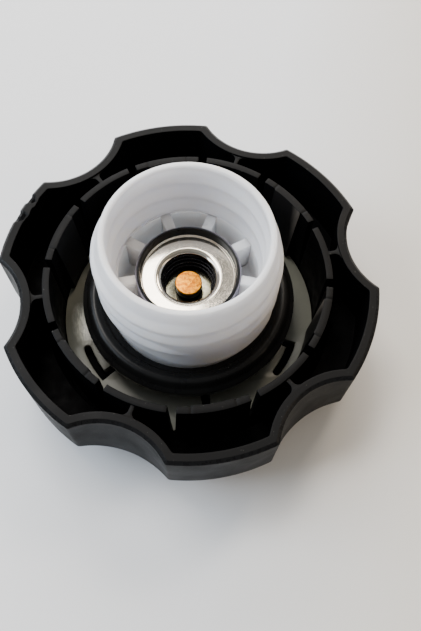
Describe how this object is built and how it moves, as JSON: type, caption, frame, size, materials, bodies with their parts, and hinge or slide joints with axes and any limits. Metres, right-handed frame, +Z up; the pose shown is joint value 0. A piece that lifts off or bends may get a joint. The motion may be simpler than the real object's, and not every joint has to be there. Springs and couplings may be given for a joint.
{
  "type": "fuel tank cap",
  "caption": "Ratcheting screw-in fuel tank cap lying upside down: black lobed knob, white threaded plug, rubber neck gasket and a pressure and vacuum valve.",
  "frame": {"origin": "on the table under the thread axis, at the middle of the crown's flat face on which the cap lies upside down", "axes": "+Z up along the thread axis, from the crown to the threaded cup's mouth; +Y through the middle of the lobe at the back, +X through the middle of a scallop at the right"},
  "size_m": [0.108, 0.1114, 0.0532],
  "materials": {
    "black_plastic": "semi-gloss moulded black",
    "pale_plastic": "pale grey-olive, lightly polished",
    "milky_plastic": "milky translucent, satin",
    "black_rubber": "soft satin black",
    "housing_plastic": "black, satin",
    "stainless": "polished pressed sheet",
    "spring_wire": "dark drawn wire",
    "copper": "mottled copper plating"
  },
  "bodies": {
    "knob": {"grip_cover": "black_plastic"},
    "closure": {"ratchet_plate": "pale_plastic", "threaded_plug": "milky_plastic", "neck_gasket": "black_rubber", "valve_housing": "housing_plastic", "valve_seal": "black_rubber", "spring_retainer": "stainless", "vacuum_spring": "spring_wire"},
    "vacuum_valve": {"vacuum_plate": "pale_plastic", "vacuum_seal": "black_rubber", "pressure_spring": "spring_wire"},
    "pressure_valve": {"pressure_stem": "housing_plastic", "poppet_disc": "stainless", "poppet_seal": "black_rubber", "copper_cap": "copper"}
  },
  "joints": [
    {"name": "ratchet_turn", "type": "hinge", "parent": "knob", "child": "closure", "pos_m": [0, 0, 0.0045], "axis": [0, 0, 1], "range_deg": [-360, 0], "deforming": ["ratchet_plate"]},
    {"name": "vacuum_lift", "type": "slide", "parent": "closure", "child": "vacuum_valve", "axis": [0, 0, 1], "range_m": [0, 0.0025], "stiffness_N_per_m": 150, "springref_m": -0.005, "deforming": ["vacuum_spring"]},
    {"name": "pressure_drop", "type": "slide", "parent": "vacuum_valve", "child": "pressure_valve", "axis": [0, 0, 1], "range_m": [-0.0015, 0], "stiffness_N_per_m": 300, "springref_m": 0.003, "deforming": ["pressure_spring"]}
  ]
}
